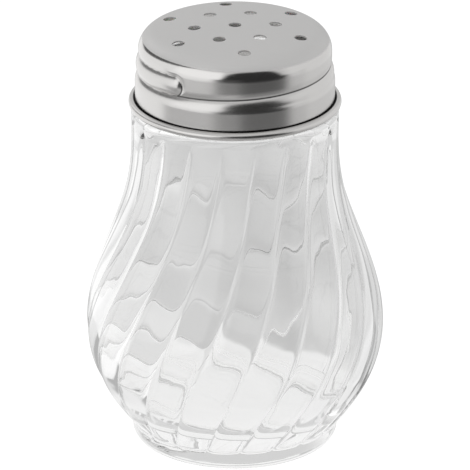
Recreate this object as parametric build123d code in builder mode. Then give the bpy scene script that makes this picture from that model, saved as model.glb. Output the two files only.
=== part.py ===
from build123d import *
import os
from math import cos, radians, sin, sqrt

# Glass salt shaker: a fluted, pear-shaped jar, a pressed steel screw cap pierced with pour holes and
# a sealing ring between them. Millimetres, +Z up, origin on the table at the centre of the foot.
# -Y is the side that faces the viewer.

# Jar body: widest low down, drawn in to a straight neck; radii over the crests of the flutes
foot_r = 20.6
foot_top_r = 21.3
foot_height = 4.5
foot_edge_r = 2.3
push_up_r = 16.0
push_up = 0.9
body_base_r = 21.5
hip_r = 28.2
hip_z = 15.0
belly_r = 30.25
belly_z = 25.0
waist_r = 27.3
waist_z = 39.2
throat_r = 22.15
throat_z = 54.0
neck_r = 20.95
neck_z = 63.0
shoulder_z = 71.4
base_swell = (0.85, 1.0)
neck_run = (0.02, 1.0)

# Flutes: shallow convex lobes that meet in narrow grooves and turn as they rise, less and less up the jar
flutes = 20
flute_depth_share = 0.02
twist_at_table = 1.15
twist_falloff = 0.00625
first_groove_angle = -110.6
body_sections = 12

# Hollow of the jar
glass_wall = 2.4
floor_z = 8.6
floor_r = 17.0

# Thread finish: the plain ring of glass that the cap screws over
finish_r = 18.1
finish_wall = 2.2
rim_z = 85.5
rim_round = 0.8
thread_pitch = 4.0
glass_thread_w = 2.4
glass_thread_h = 1.25
glass_thread_turns = 1.1
glass_thread_lag = 15.0

# Cap, pressed from one sheet of steel: a shallow dome, a round shoulder, a wall and a wider skirt
sheet = 0.4
dome_r = 134.0
cap_shoulder_r = 4.4
skirt_step = 0.65
skirt_h = 5.05
skirt_blend = 0.65
curl_r = 0.85
curl_end_angle = 100.0
cap_gap = 0.55

# Rolled thread of the cap: a raised helical bead with a round upper end at the front left
bead_height = 0.45
bead_width = 3.2
bead_turns = 1.4
bead_end_angle = 232.0
bead_drop = 2.2
thread_radial_gap = 0.2
thread_flank_gap = 0.15

# Pour holes: one in the middle and two rings around it, on a triangular grid
hole_d = 2.6
hole_spacing = 8.2
hole_row_angle = 7.5

# Sealing ring between the glass rim and the inside of the cap's shoulder
seal_cord_d = 1.5
seal_gap = 0.03

# The cap's width follows from the glass thread, and its height from the ring that it seats on
mouth_r = finish_r - finish_wall
bore_r = finish_r + glass_thread_h + thread_radial_gap - bead_height
cap_wall_r = bore_r + sheet
skirt_r = cap_wall_r + skirt_step
seal_r = (mouth_r + finish_r) / 2
seal_z = rim_z + seal_gap + seal_cord_d / 2
shoulder_centre_r = cap_wall_r - cap_shoulder_r
seal_reach = cap_shoulder_r - sheet - seal_gap - seal_cord_d / 2
shoulder_centre_z = seal_z - sqrt(seal_reach**2 - (seal_r - shoulder_centre_r) ** 2)
dome_centre_z = shoulder_centre_z - sqrt((dome_r - cap_shoulder_r) ** 2 - shoulder_centre_r**2)
cap_bottom_z = shoulder_z + cap_gap
skirt_top_z = cap_bottom_z + skirt_h
bead_end_z = shoulder_centre_z - bead_drop

os.makedirs("parts", exist_ok=True)


def on_circle(radius, angle):
    return (radius * cos(radians(angle)), radius * sin(radians(angle)))


def arc_radius(height, width):
    """Radius of the arc that bulges by height over a chord of the given width."""
    return (height**2 + (width / 2) ** 2) / (2 * height)


def groove_angle(z):
    """Angle of the first groove at height z."""
    return first_groove_angle + twist_at_table * z - twist_falloff * z**2


def lobed_outline(crest_r, first_angle):
    """Closed outline of the flutes: one arc per lobe, from groove to groove over its crest."""
    lobe = 360 / flutes
    groove_r = crest_r * (1 - flute_depth_share)
    for k in range(flutes):
        start = first_angle + k * lobe
        ThreePointArc(
            on_circle(groove_r, start),
            on_circle(crest_r, start + lobe / 2),
            on_circle(groove_r, start + lobe),
        )


def helical_rib(base_r, height, width, turns, end_angle, end_z, root=0.3):
    """Rib with a bulged section on a cylinder, running down clockwise from its round upper end."""
    start_x, start_y = on_circle(1, end_angle - 360 * turns)
    start_z = end_z - thread_pitch * turns
    bulge_r = arc_radius(height, width)
    with BuildPart() as rib:
        with BuildLine(Plane(origin=(0, 0, start_z), x_dir=(start_x, start_y, 0))) as path:
            Helix(pitch=thread_pitch, height=thread_pitch * turns, radius=base_r)
        helix = path.edges()[0]
        for at in (0, 1):
            point = helix @ at
            outward = Vector(point.X, point.Y, 0).normalized()
            section = Plane(origin=point, x_dir=outward, z_dir=helix % at)
            if at == 0:
                with BuildSketch(section):
                    with BuildLine():
                        ThreePointArc((0, -width / 2), (height, 0), (0, width / 2))
                        Polyline((0, width / 2), (-root, width / 2), (-root, -width / 2), (0, -width / 2))
                    make_face()
                sweep(path=helix, is_frenet=True)
            with BuildSketch(section):
                with BuildLine():
                    Polyline((height, 0), (-root, 0), (-root, width / 2), (0, width / 2))
                    RadiusArc((0, width / 2), (height, 0), bulge_r)
                make_face()
            revolve(axis=Axis(point, outward))
    return rib.part


# Crest profile of the jar body, radius against height
with BuildLine() as side:
    Spline(
        [
            (body_base_r, foot_height),
            (hip_r, hip_z),
            (belly_r, belly_z),
            (waist_r, waist_z),
            (throat_r, throat_z),
            (neck_r, neck_z),
            (neck_r, shoulder_z),
        ],
        tangents=[base_swell, neck_run],
    )
crest_line = side.edges()[0]
crest_points = [crest_line @ (i / body_sections) for i in range(body_sections + 1)]

# Inner wall: the groove line drawn in by the glass wall, from the floor up to the neck
wall_points = [
    (p.X * (1 - flute_depth_share) - glass_wall, p.Y)
    for p in crest_points
    if floor_z + glass_wall < p.Y < neck_z
]

# The glass thread stands on the finish and bears on the lower flank of the cap's bead
thread_arc_r = arc_radius(glass_thread_h, glass_thread_w)
bore_level = bore_r - finish_r
half_width_at_bore = sqrt(thread_arc_r**2 - (thread_arc_r - glass_thread_h + bore_level) ** 2)
flank_drop = bead_width / 2 - half_width_at_bore - thread_flank_gap
lag_drop = thread_pitch * glass_thread_lag / 360
glass_thread = helical_rib(
    finish_r,
    glass_thread_h,
    glass_thread_w,
    glass_thread_turns,
    bead_end_angle - glass_thread_lag,
    bead_end_z - lag_drop - flank_drop,
)

with BuildPart() as glass_jar:
    for p in crest_points:
        with BuildSketch(Plane.XY.offset(p.Y)):
            with BuildLine():
                lobed_outline(p.X, groove_angle(p.Y))
            make_face()
    loft()
    # Foot, with a shallow push-up underneath
    with BuildSketch(Plane.XZ):
        with BuildLine():
            Polyline(
                (0, push_up),
                (push_up_r, push_up),
                (push_up_r + push_up, 0),
                (foot_r, 0),
                (foot_top_r, foot_height),
                (0, foot_height),
                close=True,
            )
        make_face()
        fillet(vertices().group_by(Axis.Y)[0].sort_by(Axis.X)[-1], foot_edge_r)
    revolve(axis=Axis.Z)
    # Finish and its thread
    with BuildSketch(Plane.XY.offset(floor_z)):
        Circle(finish_r)
    extrude(amount=rim_z - floor_z)
    fillet(glass_jar.edges().filter_by(GeomType.CIRCLE).sort_by(Axis.Z)[-1], rim_round)
    add(glass_thread)
    # Hollow, open at the mouth
    with BuildSketch(Plane.XZ):
        with BuildLine():
            Line((0, floor_z), (floor_r, floor_z))
            Spline([(floor_r, floor_z)] + wall_points + [(mouth_r, shoulder_z)], tangents=[(1, 0.1), (0, 1)])
            Polyline((mouth_r, shoulder_z), (mouth_r, rim_z + 1), (0, rim_z + 1), (0, floor_z))
        make_face()
    revolve(axis=Axis.Z, mode=Mode.SUBTRACT)
    mouth_edges = glass_jar.edges().filter_by(GeomType.CIRCLE).group_by(Axis.Z)[-1]
    fillet(mouth_edges.sort_by(SortBy.RADIUS)[0], rim_round)
glass_jar.part.label = "glass_jar"
export_step(glass_jar.part, "parts/glass_jar.step")


def cap_shape(inset):
    """The cap as a filled shape, inset from its outer face, with the bead that is rolled into it."""
    wall_r = cap_wall_r - inset
    skirt = skirt_r - inset
    dome = dome_r - inset
    corner_z = dome_centre_z + sqrt(dome**2 - wall_r**2)
    with BuildPart() as shape:
        with BuildSketch(Plane.XZ):
            with BuildLine():
                ThreePointArc(
                    (0, dome_centre_z + dome),
                    (wall_r / 2, dome_centre_z + sqrt(dome**2 - (wall_r / 2) ** 2)),
                    (wall_r, corner_z),
                )
                Polyline(
                    (wall_r, corner_z),
                    (wall_r, skirt_top_z + skirt_blend),
                    (skirt, skirt_top_z),
                    (skirt, cap_bottom_z + curl_r),
                    (0, cap_bottom_z + curl_r),
                    (0, dome_centre_z + dome),
                )
            make_face()
            corner = vertices().sort_by(Axis.Y)[-2]
            fillet(corner, cap_shoulder_r - inset)
        revolve(axis=Axis.Z)
        add(helical_rib(wall_r, bead_height, bead_width, bead_turns, bead_end_angle, bead_end_z))
    return shape.part


def on_curl(radius, angle):
    x, z = on_circle(radius, angle)
    return (skirt_r - sheet + curl_r + x, cap_bottom_z + curl_r + z)


with BuildPart() as shaker_cap:
    add(cap_shape(0))
    add(cap_shape(sheet), mode=Mode.SUBTRACT)
    # Rim, curled outwards until its raw edge comes back beside the skirt
    with BuildSketch(Plane.XZ):
        with BuildLine():
            ThreePointArc(on_curl(curl_r, 180), on_curl(curl_r, -40), on_curl(curl_r, curl_end_angle))
            Line(on_curl(curl_r, curl_end_angle), on_curl(curl_r - sheet, curl_end_angle))
            ThreePointArc(
                on_curl(curl_r - sheet, curl_end_angle),
                on_curl(curl_r - sheet, -40),
                on_curl(curl_r - sheet, 180),
            )
            Line(on_curl(curl_r - sheet, 180), on_curl(curl_r, 180))
        make_face()
    revolve(axis=Axis.Z)
    # Pour holes, punched straight through the dome
    with BuildSketch(Plane.XY.offset(shoulder_centre_z)):
        Circle(hole_d / 2)
        with PolarLocations(hole_spacing, 6, start_angle=hole_row_angle):
            Circle(hole_d / 2)
        with PolarLocations(hole_spacing * sqrt(3), 6, start_angle=hole_row_angle + 30):
            Circle(hole_d / 2)
    extrude(amount=2 * cap_shoulder_r, mode=Mode.SUBTRACT)
shaker_cap.part.label = "shaker_cap"
export_step(shaker_cap.part, "parts/shaker_cap.step")

with BuildPart() as seal_ring:
    with BuildSketch(Plane.XZ):
        with Locations((seal_r, seal_z)):
            Circle(seal_cord_d / 2)
    revolve(axis=Axis.Z)
seal_ring.part.label = "seal_ring"
export_step(seal_ring.part, "parts/seal_ring.step")
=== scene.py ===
from math import asin, atan2, cos, degrees, exp, pi, radians, sin, sqrt, tan, tau

import bpy
import numpy as np
from mathutils import Matrix, Vector
from mathutils.geometry import delaunay_2d_cdt
from mathutils.noise import noise


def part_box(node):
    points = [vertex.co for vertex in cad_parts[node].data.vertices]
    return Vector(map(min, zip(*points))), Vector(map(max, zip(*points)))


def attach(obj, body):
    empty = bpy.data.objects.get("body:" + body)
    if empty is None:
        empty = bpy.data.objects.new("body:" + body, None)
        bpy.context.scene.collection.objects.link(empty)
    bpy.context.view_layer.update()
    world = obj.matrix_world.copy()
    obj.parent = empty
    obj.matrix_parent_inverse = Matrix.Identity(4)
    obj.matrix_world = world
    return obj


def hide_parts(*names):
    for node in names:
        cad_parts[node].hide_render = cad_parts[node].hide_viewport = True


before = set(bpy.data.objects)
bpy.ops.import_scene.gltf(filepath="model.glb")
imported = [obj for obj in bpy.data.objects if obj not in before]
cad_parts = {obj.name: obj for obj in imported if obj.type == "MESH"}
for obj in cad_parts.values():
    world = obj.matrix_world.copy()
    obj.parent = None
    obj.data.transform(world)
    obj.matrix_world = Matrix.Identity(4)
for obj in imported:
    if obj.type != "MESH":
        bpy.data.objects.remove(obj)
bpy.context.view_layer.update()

# Sizes below are millimetres in the object's frame; meshes and materials use metres
MM = 0.001
jar_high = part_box("glass_jar")[1] / MM
cap_low, cap_high = (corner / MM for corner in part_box("shaker_cap"))
seal_low, seal_high = (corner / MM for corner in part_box("seal_ring"))

# Jar body: (height, crest radius) from the foot to the shoulder
foot_height = 4.5
shoulder_z = 71.4
body_knots = [(foot_height, 21.5), (15.0, 28.2), (25.0, 30.25), (39.2, 27.3), (54.0, 22.15), (63.0, 20.95),
              (shoulder_z, 20.95)]
body_start_slope = 0.85
body_end_slope = 0.0
flutes = 20
flute_depth_share = 0.018
groove_share = 0.45
twist_at_table = 1.15
twist_falloff = 0.00625
first_groove_angle = -110.6
streak_share = 0.45
foot_scallops = 0.5
most_bounces = 2.5
neck_fade = 3.0

# Foot, hollow and mouth of the jar
foot_r = 20.6
foot_top_r = 21.3
foot_edge_r = 2.3
push_up_r = 16.0
push_up = 0.9
glass_wall = 2.4
wave_depth = 0.22
wave_size = 9.0
floor_z = 8.6
floor_corner_r = 16.5
mouth_r = 15.9
finish_r = 18.1
rim_round = 0.8
rim_z = jar_high.z

# Screw thread, shared by glass and cap
thread_pitch = 4.0
glass_thread_w = 2.4
glass_thread_h = 1.25
glass_thread_turns = 1.1
glass_thread_lag = 15.0
thread_flank_gap = 0.15
bead_height = 0.45
bead_width = 3.2
bead_turns = 1.4
bead_end_angle = 232.0
bead_drop = 2.2
bead_reach = 2.05
bead_end_squash = 1.25
groove_depth = 0.28
groove_run = 1.7
roll_power = 2.2

# Cap, from its outer rim inwards
sheet = 0.4
curl_r = 0.85
curl_end_angle = 100.0
curl_outer_r = cap_high.x
skirt_r = curl_outer_r - 2 * curl_r + sheet
skirt_step = 0.65
skirt_round_h = 2.25
cap_wall_r = skirt_r - skirt_step
cap_bottom_z = cap_low.z
dome_r = 134.0
cap_shoulder_r = 4.4
dome_centre_z = cap_high.z - dome_r
shoulder_centre_r = cap_wall_r - cap_shoulder_r
shoulder_centre_z = dome_centre_z + sqrt((dome_r - cap_shoulder_r) ** 2 - shoulder_centre_r**2)
skirt_round_z = cap_bottom_z + 5.25
bead_end_z = shoulder_centre_z - bead_drop
hole_r = 1.3
hole_spacing = 8.2
hole_row_angle = 7.5
satin_edge_r = 18.8
satin_middle = (0.19, -0.07)
satin_metallic = 0.5
wall_rough = 0.19
shoulder_rough = 0.08
gap_top_z = cap_bottom_z + 2 * curl_r + 0.2
gap_w = 0.42

# Sealing ring
seal_cord_d = seal_high.z - seal_low.z
seal_r = seal_high.x - seal_cord_d / 2
seal_z = (seal_low.z + seal_high.z) / 2


# Geometry helpers
def spline(knots, start_slope, end_slope):
    """Cubic spline through (position, value) knots with the given slopes at its ends."""
    x, y = (np.array(column, float) for column in zip(*knots))
    h = np.diff(x)
    rise = np.diff(y) / h
    last = len(x) - 1
    system, right = np.eye(last + 1), np.empty(last + 1)
    right[0], right[last] = start_slope, end_slope
    for i in range(1, last):
        system[i, i - 1 : i + 2] = h[i], 2 * (h[i - 1] + h[i]), h[i - 1]
        right[i] = 3 * (h[i] * rise[i - 1] + h[i - 1] * rise[i])
    slope = np.linalg.solve(system, right)

    def value(at):
        i = int(np.clip(np.searchsorted(x, at) - 1, 0, last - 1))
        t = (at - x[i]) / h[i]
        ends = y[i] * (1 + 2 * t) * (1 - t) ** 2 + y[i + 1] * t * t * (3 - 2 * t)
        return ends + h[i] * t * (1 - t) * (slope[i] * (1 - t) - slope[i + 1] * t)

    return value


def bezier(p0, p1, p2, p3, count):
    """Points of a cubic curve, without its two ends."""
    points = []
    for i in range(1, count):
        t = i / count
        weights = ((1 - t) ** 3, 3 * t * (1 - t) ** 2, 3 * t * t * (1 - t), t**3)
        points.append(tuple(sum(w * p[axis] for w, p in zip(weights, (p0, p1, p2, p3))) for axis in (0, 1)))
    return points


def arc(centre, radius, start, end, count):
    """(radius, height) points of an arc in the profile's plane, both ends included, angles in degrees."""
    angles = np.radians(np.linspace(start, end, count))
    return [(centre[0] + radius * cos(a), centre[1] + radius * sin(a)) for a in angles]


def ring(radius, z, angles):
    """A ring of points; radius and z may be numbers or one value for each angle in radians."""
    radius, z = np.broadcast_to(radius, angles.shape), np.broadcast_to(z, angles.shape)
    return np.stack([radius * np.cos(angles), radius * np.sin(angles), z], axis=1)


def skin(rings, inwards=False):
    """Vertices and quads of a tube through rings of equal length."""
    n = len(rings[0])
    faces = []
    for i in range(len(rings) - 1):
        low, high = i * n, (i + 1) * n
        for j in range(n):
            k = (j + 1) % n
            quad = (low + j, low + k, high + k, high + j)
            faces.append(quad[::-1] if inwards else quad)
    return np.concatenate(rings), faces


def mesh_piece(name, points, faces, material, crease=40):
    """A smooth-shaded object from points in millimetres; edges sharper than crease degrees stay sharp."""
    mesh = bpy.data.meshes.new(name)
    mesh.from_pydata((np.asarray(points) * MM).tolist(), [], faces)
    mesh.validate()
    mesh.shade_smooth()
    mesh.set_sharp_from_angle(angle=radians(crease))
    mesh.materials.append(material)
    piece = bpy.data.objects.new(name, mesh)
    bpy.context.scene.collection.objects.link(piece)
    return piece


def soft_max(a, b, blend):
    """The larger of two values, rounded over where they are alike."""
    return 0.5 * (a + b + np.sqrt((a - b) ** 2 + blend**2))


def rib_distance(angles, z, base_r, turns, end_angle, end_z, end_squash=1.0):
    """Distance from the middle of a helical rib that runs down clockwise from its round upper end."""
    nearest = np.full(angles.shape, 1e9)
    for k in range(-1, int(turns) + 2):
        run = end_angle - np.degrees(angles) % 360 + 360 * k
        on_rib = np.clip(run, 0, 360 * turns)
        along = np.radians(run - on_rib) * base_r * end_squash
        across = z - (end_z - thread_pitch * on_rib / 360)
        nearest = np.minimum(nearest, np.hypot(along, across))
    return nearest


def rib_height(distance, height, width, foot=0.09):
    """Height of a rib's rounded section at a distance from its middle."""
    bulge = 1 - (2 * distance / width) ** 2
    return height * foot * np.logaddexp(0, bulge / foot)


# Node helpers
def node(tree, kind, inputs=(), **settings):
    """Adds a shader node; inputs maps socket names or numbers to values or output sockets."""
    new = tree.nodes.new("ShaderNode" + kind)
    for name, value in settings.items():
        setattr(new, name, value)
    for name, value in dict(inputs).items():
        if isinstance(value, bpy.types.NodeSocket):
            tree.links.new(value, new.inputs[name])
        else:
            new.inputs[name].default_value = value
    return new


def calc(tree, operation, *values):
    return node(tree, "Math", enumerate(values), operation=operation).outputs[0]


def smooth_step(tree, value, low, high):
    """0 below low, 1 above high, smooth between; low may be the larger."""
    return node(
        tree,
        "MapRange",
        {"Value": value, "From Min": low, "From Max": high, "To Min": 0.0, "To Max": 1.0},
        interpolation_type="SMOOTHERSTEP",
    ).outputs[0]


def band(tree, value, low, high, soft):
    """1 between low and high with soft ends."""
    rise = smooth_step(tree, value, low - soft, low + soft)
    return calc(tree, "MULTIPLY", rise, smooth_step(tree, value, high + soft, high - soft))


def blend(tree, factor, low, high):
    return node(tree, "Mix", {0: factor, 2: low, 3: high}, data_type="FLOAT").outputs[0]


def new_material(name):
    material = bpy.data.materials.new(name)
    material.use_nodes = True
    tree = material.node_tree
    tree.nodes.clear()
    return material, tree, node(tree, "OutputMaterial")


def length(tree, a, b):
    """Length of the vector (a, b)."""
    return calc(tree, "SQRT", calc(tree, "MULTIPLY_ADD", a, a, calc(tree, "MULTIPLY", b, b)))


def any_ray(tree, *names):
    """1 for rays of the named kinds."""
    path = node(tree, "LightPath")
    total = path.outputs[names[0]]
    for name in names[1:]:
        total = calc(tree, "MAXIMUM", total, path.outputs[name])
    return total


# Materials
def glass_material():
    """Clear pressed glass with a slight fire-polished ripple and faint streaks along the flutes."""
    material, tree, output = new_material("clear_glass")
    place = node(tree, "TexCoord").outputs["Object"]
    z = node(tree, "SeparateXYZ", {0: place}).outputs[2]
    rise = calc(tree, "MULTIPLY_ADD", z, -radians(twist_falloff) / MM**2, radians(twist_at_table) / MM)
    turn_back = calc(tree, "MULTIPLY", calc(tree, "MULTIPLY", z, rise), -1.0)
    unwound = node(
        tree, "VectorRotate", {"Vector": place, "Angle": turn_back}, rotation_type="Z_AXIS"
    ).outputs[0]
    along = node(tree, "VectorMath", {0: unwound, 1: (1.0, 1.0, 0.12)}, operation="MULTIPLY").outputs[0]
    streaks = node(tree, "TexNoise", {"Vector": along, "Scale": 260.0, "Detail": 1.0}).outputs[0]
    ripple = node(tree, "TexNoise", {"Vector": place, "Scale": 160.0, "Detail": 1.0}).outputs[0]
    height = calc(tree, "MULTIPLY_ADD", streaks, streak_share, ripple)
    bump = node(tree, "Bump", {"Height": height, "Strength": 0.12, "Distance": 0.0004})
    glass = node(
        tree,
        "BsdfPrincipled",
        {
            "Base Color": (0.99, 0.99, 0.988, 1),
            "Roughness": 0.0,
            "IOR": 1.5,
            "Transmission Weight": 1.0,
            "Normal": bump.outputs[0],
        },
    )
    clear = node(tree, "BsdfTransparent", {"Color": (0.91, 0.91, 0.908, 1)})
    light = any_ray(tree, "Is Shadow Ray", "Is Diffuse Ray")
    # a ray that has bounced about inside the glass goes straight on, which keeps dark patches out
    trapped = calc(tree, "GREATER_THAN", node(tree, "LightPath").outputs["Glossy Depth"], most_bounces)
    straight = calc(tree, "MAXIMUM", light, trapped)
    mix = node(tree, "MixShader", {0: straight, 1: glass.outputs[0], 2: clear.outputs[0]})
    tree.links.new(mix.outputs[0], output.inputs["Surface"])
    return material


def steel_material():
    """Stainless steel: satin dome, polished lower down, with painted shade in the gap and the groove."""
    material, tree, output = new_material("stainless_steel")
    place = node(tree, "TexCoord").outputs["Object"]
    axes = node(tree, "SeparateXYZ", {0: place})
    x, y, z = axes.outputs
    radius = length(tree, x, y)
    above = smooth_step(tree, z, (shoulder_centre_z + 0.8) * MM, (shoulder_centre_z + 1.4) * MM)
    off_centre = (calc(tree, "SUBTRACT", value, middle * MM) for value, middle in zip((x, y), satin_middle))
    edge_marks = (satin_edge_r + 0.1) * MM, (satin_edge_r - 0.1) * MM
    satin = calc(tree, "MULTIPLY", above, smooth_step(tree, length(tree, *off_centre), *edge_marks))
    blotches = node(tree, "TexNoise", {"Vector": place, "Scale": 90.0, "Detail": 3.0}).outputs[0]
    grain = node(tree, "TexNoise", {"Vector": place, "Scale": 2600.0, "Detail": 2.0}).outputs[0]
    # shade written as colour: the narrow gap behind the curled rim, and the groove above the bead
    gap_shade = calc(tree, "MULTIPLY", smooth_step(tree, z, (gap_top_z + 0.1) * MM, (gap_top_z - 0.1) * MM),
               band(tree, radius, (skirt_r - 0.1) * MM, (skirt_r + gap_w) * MM, 0.03 * MM))
    fine_z = calc(tree, "MULTIPLY", z, 9000.0)
    turned = node(tree, "CombineXYZ", {0: calc(tree, "MULTIPLY", radius, 60.0), 2: fine_z})
    lines = node(tree, "TexNoise", {"Vector": turned.outputs[0], "Scale": 1.0, "Detail": 2.0}).outputs[0]
    satin_rough = calc(tree, "MULTIPLY_ADD", blotches, 0.10, 0.38)
    shoulder = smooth_step(tree, z, (shoulder_centre_z - 0.2) * MM, (shoulder_centre_z + 1.0) * MM)
    base_rough = blend(tree, shoulder, wall_rough, shoulder_rough)
    polish_rough = calc(tree, "MULTIPLY_ADD", lines, 0.10, base_rough)
    rough = blend(tree, satin, polish_rough, satin_rough)
    relief = blend(tree, satin, lines, grain)
    bump = node(tree, "Bump", {"Height": relief, "Strength": 0.10, "Distance": 0.00002})
    groove_shade = calc(tree, "MULTIPLY", band(tree, z, skirt_round_z * MM, (bead_end_z + 0.7) * MM, 0.4 * MM),
                  smooth_step(tree, radius, (cap_wall_r - 0.13) * MM, (cap_wall_r - 0.25) * MM))
    painted_shade = calc(tree, "MAXIMUM", gap_shade, calc(tree, "MULTIPLY", groove_shade, 0.85))
    metallic = blend(tree, satin, 1.0, satin_metallic)
    colour = node(
        tree, "Mix", {0: satin, 6: (0.66, 0.65, 0.64, 1), 7: (0.52, 0.515, 0.51, 1)}, data_type="RGBA"
    ).outputs[2]
    # painted shade: the colour goes near black in the gap behind the curled rim and in the groove above the
    # bead
    colour = node(tree, "Mix", {0: painted_shade, 6: colour, 7: (0.03, 0.03, 0.03, 1)}, data_type="RGBA").outputs[2]
    steel = node(
        tree,
        "BsdfPrincipled",
        {"Base Color": colour, "Metallic": metallic, "Roughness": rough, "Normal": bump.outputs[0]},
    )
    tree.links.new(steel.outputs[0], output.inputs["Surface"])
    return material


def silicone_material():
    """Milky silicone with a faint mottle and a soft sheen."""
    material, tree, output = new_material("seal_rubber")
    place = node(tree, "TexCoord").outputs["Object"]
    mottle = node(tree, "TexNoise", {"Vector": place, "Scale": 700.0, "Detail": 2.0})
    colour = node(
        tree,
        "Mix",
        {0: mottle.outputs[0], 6: (0.80, 0.80, 0.78, 1), 7: (0.88, 0.88, 0.86, 1)},
        data_type="RGBA",
    )
    bump = node(tree, "Bump", {"Height": mottle.outputs[0], "Strength": 0.2, "Distance": 0.00003})
    body = node(
        tree,
        "BsdfPrincipled",
        {
            "Base Color": colour.outputs[2],
            "Roughness": 0.5,
            "IOR": 1.41,
            "Subsurface Weight": 0.3,
            "Subsurface Scale": 0.001,
            "Normal": bump.outputs[0],
        },
    )
    tree.links.new(body.outputs[0], output.inputs["Surface"])
    return material


# Jar
body_radius = spline(body_knots, body_start_slope, body_end_slope)
lobe_steps = 16


def groove_angle(z):
    """Angle of the first groove at height z, in degrees."""
    z = min(max(z, foot_height), shoulder_z)
    return first_groove_angle + twist_at_table * z - twist_falloff * z**2


def lobe_places():
    """Place of each point across its lobe, from 0 at one groove to 1 at the next, closer at the grooves."""
    even = np.arange(lobe_steps) / lobe_steps
    return even - 0.55 * np.sin(tau * even) / tau


across_lobe = np.tile(lobe_places(), flutes)
lobe_count = np.repeat(np.arange(flutes), lobe_steps)


def jar_angles(z):
    """Angles of a ring of jar points in radians; the ring turns with the flutes."""
    return np.radians(groove_angle(z) + (lobe_count + across_lobe) * 360 / flutes)


def fluted_ring(radius, z, share):
    """A ring of gently rounded lobes that dip to narrow grooves."""
    u = 2 * across_lobe - 1
    dip = (1 - groove_share) * u**2 + groove_share * u**10
    return ring(radius * (1 - share * dip), z, jar_angles(z))


def flute_depth(z):
    """Depth of the flutes as a share of the radius: deepest above the foot, none at the shoulder."""
    foot = min(1, 0.6 + (z - foot_height) / 6) * (1 + foot_scallops * exp(-(((z - 11) / 6) ** 2)))
    top = min(max((shoulder_z - 1.2 - z) / neck_fade, 0), 1)
    return flute_depth_share * foot * top * (2 - top)


def wavy(radius, z, angles, depth):
    """Radius with the slow unevenness of a blown inner wall."""
    spots = ring(radius, z, angles) * (1 / wave_size)
    return radius + depth * np.array([noise(Vector(spot)) for spot in spots])


def jar_rings():
    rings = []

    def plain(points):
        for radius, z in points:
            rings.append(ring(radius, z, jar_angles(z)))

    # Underside with its push-up, then the rounded foot
    plain([(r, push_up) for r in (0.05, 4.0, 8.0, 12.0, push_up_r - 0.6)])
    plain(arc((push_up_r - 0.2, push_up - 0.4), 0.4, 90, 30, 4))
    flare = atan2(foot_top_r - foot_r, foot_height)
    edge_centre_r = foot_r - foot_edge_r * tan(pi / 4 - flare / 2)
    plain([(push_up_r + push_up - 0.1, 0.12), (push_up_r + push_up + 0.2, 0.0), (edge_centre_r, 0.0)])
    plain(arc((edge_centre_r, foot_edge_r), foot_edge_r, -80, -degrees(flare), 9))
    plain([(foot_r + (foot_top_r - foot_r) * z / foot_height, z) for z in (2.8, 3.6, 4.1)])
    # Fluted body
    for z in np.linspace(foot_height, shoulder_z - 1.2, 104):
        rings.append(fluted_ring(body_radius(z), z, flute_depth(z)))
    # Shoulder, where the flutes fade out over a rounded edge
    edge = 1.2
    for i in range(1, 8):
        a = radians(90 * i / 7)
        radius = body_radius(shoulder_z) - edge * (1 - cos(a))
        plain([(radius, shoulder_z - edge + edge * sin(a))])
    plain([(finish_r + 0.6, shoulder_z)])
    # Finish with the glass thread
    thread_arc_r = (glass_thread_h**2 + (glass_thread_w / 2) ** 2) / (2 * glass_thread_h)
    bore_level = glass_thread_h + 0.2 - bead_height
    half_width = sqrt(thread_arc_r**2 - (thread_arc_r - glass_thread_h + bore_level) ** 2)
    flank_drop = bead_width / 2 - half_width - thread_flank_gap
    thread_end_z = bead_end_z - thread_pitch * glass_thread_lag / 360 - flank_drop
    for z in np.arange(shoulder_z + 0.3, rim_z - rim_round, 0.22):
        angles = jar_angles(z)
        distance = rib_distance(angles, z, finish_r, glass_thread_turns, bead_end_angle - glass_thread_lag,
                                thread_end_z)
        height = rib_height(distance, glass_thread_h, glass_thread_w)
        foot_flare = 0.25 * max(0.0, 1 - (z - shoulder_z) / 0.9) ** 2
        rings.append(ring(finish_r + height + foot_flare, z, angles))
    # Rounded rim
    plain(arc((finish_r - rim_round, rim_z - rim_round), rim_round, 8, 90, 7))
    plain(arc((mouth_r + rim_round, rim_z - rim_round), rim_round, 90, 180, 7))
    # Hollow: mouth, neck and wall down to a rounded corner and the floor
    wall_top = 62.0
    wall_low = 17.0

    def inner(z):
        return body_radius(z) * (1 - flute_depth_share) - glass_wall

    plain([(mouth_r, z) for z in np.linspace(rim_z - 2, shoulder_z + 3, 8)])
    plain(bezier((mouth_r, shoulder_z + 3), (mouth_r, shoulder_z - 2),
                 (inner(wall_top) - 0.3, wall_top + 6), (inner(wall_top), wall_top), 14))
    for z in np.linspace(wall_top, wall_low, 56):
        angles = jar_angles(z)
        rings.append(ring(wavy(inner(z), z, angles, wave_depth), z, angles))
    plain(bezier((inner(wall_low), wall_low), (inner(wall_low) - 2.6, wall_low - 5.5),
                 (floor_corner_r + 5.0, floor_z), (floor_corner_r, floor_z), 16))
    plain([(r, floor_z) for r in (floor_corner_r, 12.0, 9.0, 6.0, 3.0, 0.05)])
    return rings


def capped(rings, inwards=False):
    """A tube whose first and last rings are closed by a face each."""
    points, faces = skin(rings, inwards)
    n = len(rings[0])
    first, last = tuple(range(n)), tuple(range(len(points) - n, len(points)))
    faces += [first, last[::-1]] if inwards else [first[::-1], last]
    return points, faces


# Cap
# angles lie closer together around the end of the bead
fine_low, fine_high = bead_end_angle - 6, bead_end_angle + 14
cap_angles = np.radians(np.concatenate([
    np.linspace(fine_low, fine_high, 50, endpoint=False),
    np.linspace(fine_high, fine_low + 360, 290, endpoint=False),
]) % 360)
cap_steps = len(cap_angles)
disc_r = 16.4
hole_steps = 28


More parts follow.
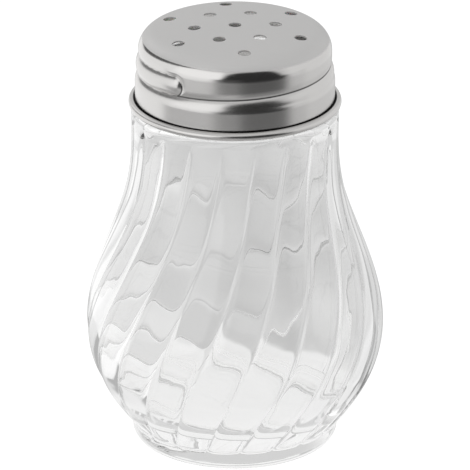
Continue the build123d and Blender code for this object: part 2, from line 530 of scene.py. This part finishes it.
def cap_top_z(radius, inset):
    """Height of the dome and of the shoulder's upper part."""
    touch_r = shoulder_centre_r * (dome_r - inset) / (dome_r - cap_shoulder_r)
    if radius < touch_r:
        return dome_centre_z + sqrt((dome_r - inset) ** 2 - radius**2)
    return shoulder_centre_z + sqrt((cap_shoulder_r - inset) ** 2 - (radius - shoulder_centre_r) ** 2)


def hole_centres():
    centres = [(0.0, 0.0)]
    for reach, turn in ((hole_spacing, 0), (hole_spacing * sqrt(3), 30)):
        for k in range(6):
            a = radians(hole_row_angle + turn + 60 * k)
            centres.append((reach * cos(a), reach * sin(a)))
    return centres


def wall_offset(z):
    """How far the cap's wall stands out at each angle: bead, wall leaning into the groove, or skirt."""
    distance = rib_distance(cap_angles, z, cap_wall_r, bead_turns, bead_end_angle, bead_end_z,
                            bead_end_squash)
    bead = bead_height - (bead_height + groove_depth) * (distance / bead_reach) ** roll_power
    plain_wall = -groove_depth * (1 - np.clip((distance - bead_reach) / groove_run, 0, 1)) ** 3
    above_round = max(z - skirt_round_z, 0) / skirt_round_h
    skirt = skirt_step - (skirt_step + groove_depth) * above_round**roll_power
    return soft_max(soft_max(bead, plain_wall, 0.03), skirt, 0.08)


def cap_side_rings():
    """Rings from the edge of the dome down the outside, round the curled rim and up the inside."""
    curl_z = cap_bottom_z + curl_r
    start = degrees(asin((disc_r - shoulder_centre_r) / cap_shoulder_r))
    sides = []
    for inset, tilts, step in ((0, 30, 0.075), (sheet, 10, 0.2)):
        rings = []
        reach = cap_shoulder_r - inset
        for a in np.radians(np.linspace(start, 90, tilts)):
            z = shoulder_centre_z + reach * cos(a)
            radius = shoulder_centre_r + reach * sin(a) + wall_offset(z) * sin(a) ** 4
            rings.append(ring(radius, z, cap_angles))
        heights = list(np.arange(shoulder_centre_z - step, skirt_round_z, -step))
        heights += list(np.linspace(skirt_round_z, curl_z + 0.02, 12))
        for z in heights:
            rings.append(ring(cap_wall_r + wall_offset(z) - inset, z, cap_angles))
        sides.append(rings)
    centre = (skirt_r - sheet + curl_r, curl_z)
    inner_curl = arc(centre, curl_r - sheet, 180, 360 + curl_end_angle, 16)
    edge_a = radians(curl_end_angle)
    sheet_middle_r = curl_r - sheet / 2
    edge_centre = (centre[0] + sheet_middle_r * cos(edge_a), centre[1] + sheet_middle_r * sin(edge_a))
    raw_edge = arc(edge_centre, sheet / 2, curl_end_angle + 180 - 20, curl_end_angle + 20, 6)
    outer_curl = arc(centre, curl_r, 360 + curl_end_angle, 180, 26)
    curl = [ring(r, z, cap_angles) for r, z in inner_curl + raw_edge + outer_curl]
    return sides[0] + curl + sides[1][::-1]


def disc(inset, hole_rings):
    """Triangles of the dome inside disc_r with its holes left out, and the numbers of the edge points."""
    edge_r = disc_r if inset == 0 else shoulder_centre_r + (cap_shoulder_r - sheet) * (
        (disc_r - shoulder_centre_r) / cap_shoulder_r)
    centres = hole_centres()
    points = [Vector((edge_r * cos(a), edge_r * sin(a))) for a in cap_angles]
    dips = [0.0] * cap_steps
    edges = [(i, (i + 1) % cap_steps) for i in range(cap_steps)]
    starts = []
    for cx, cy in centres:
        for number, (reach, dip) in enumerate(hole_rings):
            first = len(points)
            if number == 0:
                starts.append(first)
            for j in range(hole_steps):
                a = tau * j / hole_steps
                points.append(Vector((cx + reach * cos(a), cy + reach * sin(a))))
                dips.append(dip)
                edges.append((first + j, first + (j + 1) % hole_steps))
    clear = hole_rings[-1][0] + 0.25
    for radius in np.arange(edge_r - 0.35, 0.4, -0.62):
        count = int(tau * radius / 0.75)
        for j in range(count):
            a = tau * (j + 0.5 * (int(radius * 100) % 2)) / count
            spot = Vector((radius * cos(a), radius * sin(a)))
            if all((spot - Vector(c)).length > clear for c in centres):
                points.append(spot)
                dips.append(0.0)
    flat, _, triangles, origins, _, _ = delaunay_2d_cdt(points, edges, [], 0, 1e-5)
    number = {old: new for new, olds in enumerate(origins) for old in olds}
    dip_of = {number[old]: dip for old, dip in enumerate(dips)}
    spots = [(p.x, p.y, cap_top_z(p.length, inset) - dip_of.get(i, 0.0)) for i, p in enumerate(flat)]
    kept = []
    for triangle in triangles:
        middle = sum((flat[i] for i in triangle), Vector((0, 0))) / 3
        if all((middle - Vector(c)).length > hole_rings[0][0] * 0.97 for c in centres):
            kept.append(tuple(triangle))
    holes = [[number[start + j] for j in range(hole_steps)] for start in starts]
    return spots, kept, holes, [number[i] for i in range(cap_steps)]


def make_cap():
    side, faces = skin(cap_side_rings(), inwards=True)
    points = [tuple(p) for p in side]
    hole_rims = []
    for inset, hole_rings, first in (
        (0.0, ((hole_r, 0.10), (hole_r + 0.05, 0.045), (hole_r + 0.16, 0.012), (hole_r + 0.34, 0.0)), 0),
        (sheet, ((hole_r, 0.0), (hole_r + 0.3, 0.0)), len(points) - cap_steps),
    ):
        spots, triangles, holes, edge = disc(inset, hole_rings)
        base = len(points)
        number = {i: base + i for i in range(len(spots))}
        for place, i in enumerate(edge):
            number[i] = first + place
        points += spots
        for triangle in triangles:
            a, b, c = (number[i] for i in triangle)
            faces.append((a, b, c) if inset == 0 else (c, b, a))
        hole_rims.append([[number[i] for i in hole] for hole in holes])
    for top, bottom in zip(*hole_rims):
        for j in range(hole_steps):
            k = (j + 1) % hole_steps
            faces.append((top[j], top[k], bottom[k], bottom[j]))
    used = sorted({i for face in faces for i in face})
    renumber = {old: new for new, old in enumerate(used)}
    points = [points[i] for i in used]
    faces = [tuple(renumber[i] for i in face) for face in faces]
    return mesh_piece("steel_cap", points, faces, steel_material())


def make_jar():
    points, faces = capped(jar_rings())
    return mesh_piece("fluted_glass_jar", points, faces, glass_material(), crease=50)


def make_seal():
    """A cord ring of round section."""
    angles = np.arange(180) * tau / 180
    rings = []
    for a in np.radians(np.arange(0, 360, 15)):
        radius = seal_cord_d / 2
        rings.append(ring(seal_r + radius * cos(a), seal_z + radius * sin(a), angles))
    rings.append(rings[0])
    points, faces = skin(rings)
    last = len(points) - len(angles)
    faces = [tuple(i - last if i >= last else i for i in face) for face in faces]
    return mesh_piece("seal_cord", points[:last], [f[::-1] for f in faces], silicone_material())


# Camera: a long lens from the front, 22 degrees above the table
camera_elevation = 22.359
camera_distance = 1200.0
camera_target = (0.0, 0.0, 43.36)
lens_mm = 452.37
camera_roll = 0.0


def make_camera():
    camera = bpy.data.objects.new("camera", bpy.data.cameras.new("camera"))
    bpy.context.scene.collection.objects.link(camera)
    camera.data.sensor_width = 36.0
    camera.data.lens = lens_mm
    camera.data.clip_start, camera.data.clip_end = 0.1, 20.0
    e = radians(camera_elevation)
    back = Vector((0, -cos(e), sin(e)))
    camera.location = (Vector(camera_target) + back * camera_distance) * MM
    turn = back.to_track_quat("Z", "Y").to_matrix() @ Matrix.Rotation(radians(camera_roll), 3, "Z")
    camera.rotation_euler = turn.to_euler()
    bpy.context.scene.camera = camera


# Studio. Only camera and diffuse rays get a plain white one. Metal and glass see the levels below, chosen
# for the front view from the greys that the photograph's cap and glass show
def polar(tree, x, y):
    """Azimuth in radians, 0 on the camera's side and growing towards +X."""
    return calc(tree, "ARCTAN2", x, calc(tree, "MULTIPLY", y, -1.0))


# What metal sees round it: (level, azimuths, elevations, soft edge) in degrees, each laid over the last
sky_level = 0.70
sky_parts = [
    (1.05, (-150, -66), (-40, 35), 8),
    (1.22, (-74, -14), (-40, 35), 6),
    (0.88, (62, 150), (-40, 30), 9),
]

# Dark flags: (level, middle and half width low down, slant and widening upwards, heights, corner, soft)
sky_flags = [
    (0.03, 20, 36, 0.0, -0.3, (-40, 36), 17, 5),
    (0.11, -147, 7, 2.0, 0.4, (2, 38), 3, 4),
]

# The table as metal sees it: (azimuths, soft edge, near level, far level, marks between them in m)
table_level = 0.56
table_parts = [
    ((-162, -84), 10, 1.08, 1.08, (0.2, 0.21)),
    ((84, 158), 10, 0.74, 0.88, (0.222, 0.238)),
    ((-84, -20), 8, 0.44, 1.1, (0.234, 0.241)),
    ((60, 84), 7, 0.58, 0.82, (0.222, 0.238)),
    ((-22, 30), 10, 0.62, 0.08, (0.212, 0.224)),
    ((6, 62), 9, 0.29, 0.03, (0.212, 0.224)),
]
foot_shade = 0.5
foot_shade_marks = (0.095, 0.110)
floor_drop = 0.02
foot_light = 0.95
foot_light_marks = (0.028, 0.036)

# What glass shows behind it: a grey backdrop with soft strips, whiter at the sides, and a light table near
backdrop_level = 0.60
side_gain = 0.42
glass_table_near = 0.88
glass_table_marks = (0.032, 0.038)
backdrop_lean = 0.11
backdrop_strips = 16
strip_contrast = 0.05
glass_sky_level = 0.92


def glass_view(tree, x, y):
    """Level of the backdrop behind the glass in the direction of x and y."""
    square_x, square_y = (calc(tree, "MULTIPLY", value, value) for value in (x, y))
    square = calc(tree, "ADD", calc(tree, "ADD", square_x, square_y), 1e-6)
    level = calc(tree, "MULTIPLY_ADD", calc(tree, "DIVIDE", square_x, square), side_gain, backdrop_level)
    sideways = calc(tree, "DIVIDE", x, calc(tree, "SQRT", square))
    level = calc(tree, "MULTIPLY_ADD", sideways, -backdrop_lean, level)
    strips = calc(tree, "COSINE", calc(tree, "MULTIPLY", polar(tree, x, y), backdrop_strips))
    return calc(tree, "MULTIPLY_ADD", strips, strip_contrast, level)


def make_floor():
    """A table that the camera sees white with a soft shadow; metal and glass see other levels."""
    # a hair below the foot, so that rays which leave the glass downwards find it
    place = (0, 0, -floor_drop * MM)
    bpy.ops.mesh.primitive_circle_add(vertices=64, radius=2.5, fill_type="NGON", location=place)
    floor = bpy.context.object
    floor.name = "floor"
    material, tree, output = new_material("pale_floor")
    x, y, _ = node(tree, "SeparateXYZ", {0: node(tree, "TexCoord").outputs["Object"]}).outputs
    azimuth = polar(tree, x, y)
    reach = length(tree, x, y)
    level = table_level
    for (low, high), soft, near, far, marks in table_parts:
        part = blend(tree, smooth_step(tree, reach, *marks), near, far)
        level = blend(tree, band(tree, azimuth, radians(low), radians(high), radians(soft)), level, part)
    level = blend(tree, smooth_step(tree, reach, *foot_shade_marks), foot_shade, level)
    level = blend(tree, smooth_step(tree, reach, *foot_light_marks), foot_light, level)
    near = smooth_step(tree, reach, *glass_table_marks)
    behind = blend(tree, near, glass_table_near, glass_view(tree, x, y))
    level = blend(tree, any_ray(tree, "Is Transmission Ray"), level, behind)
    lit = node(tree, "BsdfDiffuse", {"Color": (0.9, 0.9, 0.9, 1)})
    mirrored = node(tree, "Emission", {"Color": (1, 1, 1, 1), "Strength": level})
    shown = node(tree, "Emission", {"Color": (1, 1, 1, 1), "Strength": 0.86})
    faint = node(tree, "BsdfDiffuse", {"Color": (0.2, 0.2, 0.2, 1)})
    both = node(tree, "AddShader", {0: shown.outputs[0], 1: faint.outputs[0]})
    seen = any_ray(tree, "Is Glossy Ray", "Is Transmission Ray")
    mix = node(tree, "MixShader", {0: seen, 1: lit.outputs[0], 2: mirrored.outputs[0]})
    camera_ray = any_ray(tree, "Is Camera Ray")
    mix = node(tree, "MixShader", {0: camera_ray, 1: mix.outputs[0], 2: both.outputs[0]})
    tree.links.new(mix.outputs[0], output.inputs["Surface"])
    floor.data.materials.append(material)


def make_world():
    """White for the camera; soft boxes and dark flags for metal, and a grey backdrop for glass."""
    world = bpy.data.worlds.new("studio")
    bpy.context.scene.world = world
    world.use_nodes = True
    tree = world.node_tree
    tree.nodes.clear()
    direction = node(tree, "TexCoord").outputs["Generated"]
    x, y, z = node(tree, "SeparateXYZ", {0: direction}).outputs
    azimuth = calc(tree, "DEGREES", polar(tree, x, y))
    elevation = calc(tree, "DEGREES", calc(tree, "ARCSINE", z))

    def card(az, el, soft):
        """1 inside a rectangle of directions, in degrees."""
        return calc(tree, "MULTIPLY", band(tree, azimuth, *az, soft), band(tree, elevation, *el, soft))

    def past(value, middle, half):
        """How far a value lies past either side of a middle."""
        beyond = calc(tree, "SUBTRACT", calc(tree, "ABSOLUTE", calc(tree, "SUBTRACT", value, middle)), half)
        return calc(tree, "MAXIMUM", beyond, 0.0)

    def flag(middle, half, slant, widening, el, corner, soft):
        """1 inside a card with round corners that may lean and widen upwards, in degrees."""
        across = past(azimuth, calc(tree, "MULTIPLY_ADD", elevation, slant, middle),
                      calc(tree, "MULTIPLY_ADD", elevation, widening, half - corner))
        up = past(elevation, (el[0] + el[1]) / 2, (el[1] - el[0]) / 2 - corner)
        return smooth_step(tree, length(tree, across, up), corner + soft, corner - soft)

    level = sky_level
    for strength, az, el, soft in sky_parts:
        level = blend(tree, card(az, el, soft), level, strength)
    for strength, *shape in sky_flags:
        level = blend(tree, flag(*shape), level, strength)
    steep = smooth_step(tree, calc(tree, "ABSOLUTE", elevation), 1.0, 6.0)
    behind = blend(tree, steep, glass_view(tree, x, y), glass_sky_level)
    level = blend(tree, any_ray(tree, "Is Transmission Ray"), level, behind)
    seen = any_ray(tree, "Is Glossy Ray", "Is Transmission Ray")
    strength = blend(tree, seen, 0.95, level)
    strength = blend(tree, any_ray(tree, "Is Camera Ray"), strength, 1.0)
    shown = node(tree, "Background", {"Color": (1, 1, 1, 1), "Strength": strength})
    tree.links.new(shown.outputs[0], node(tree, "OutputWorld").inputs["Surface"])


def make_lamp(name, place, target, size, power):
    light = bpy.data.lights.new(name, "AREA")
    light.shape, light.size, light.energy = "DISK", size, power
    lamp = bpy.data.objects.new(name, light)
    bpy.context.scene.collection.objects.link(lamp)
    lamp.location = place
    lamp.rotation_euler = (Vector(place) - Vector(target)).to_track_quat("Z", "Y").to_euler()
    lamp.visible_glossy = lamp.visible_transmission = lamp.visible_camera = False


make_camera()
make_floor()
make_world()
make_lamp("key", (-0.6, -0.5, 0.9), (0, 0, 0.04), 0.5, 4.0)

jar = make_jar()
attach(jar, "jar")
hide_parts("glass_jar")
cap = make_cap()
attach(cap, "cap")
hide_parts("shaker_cap")
seal = make_seal()
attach(seal, "seal")
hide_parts("seal_ring")

bpy.context.scene.view_settings.view_transform = "Standard"
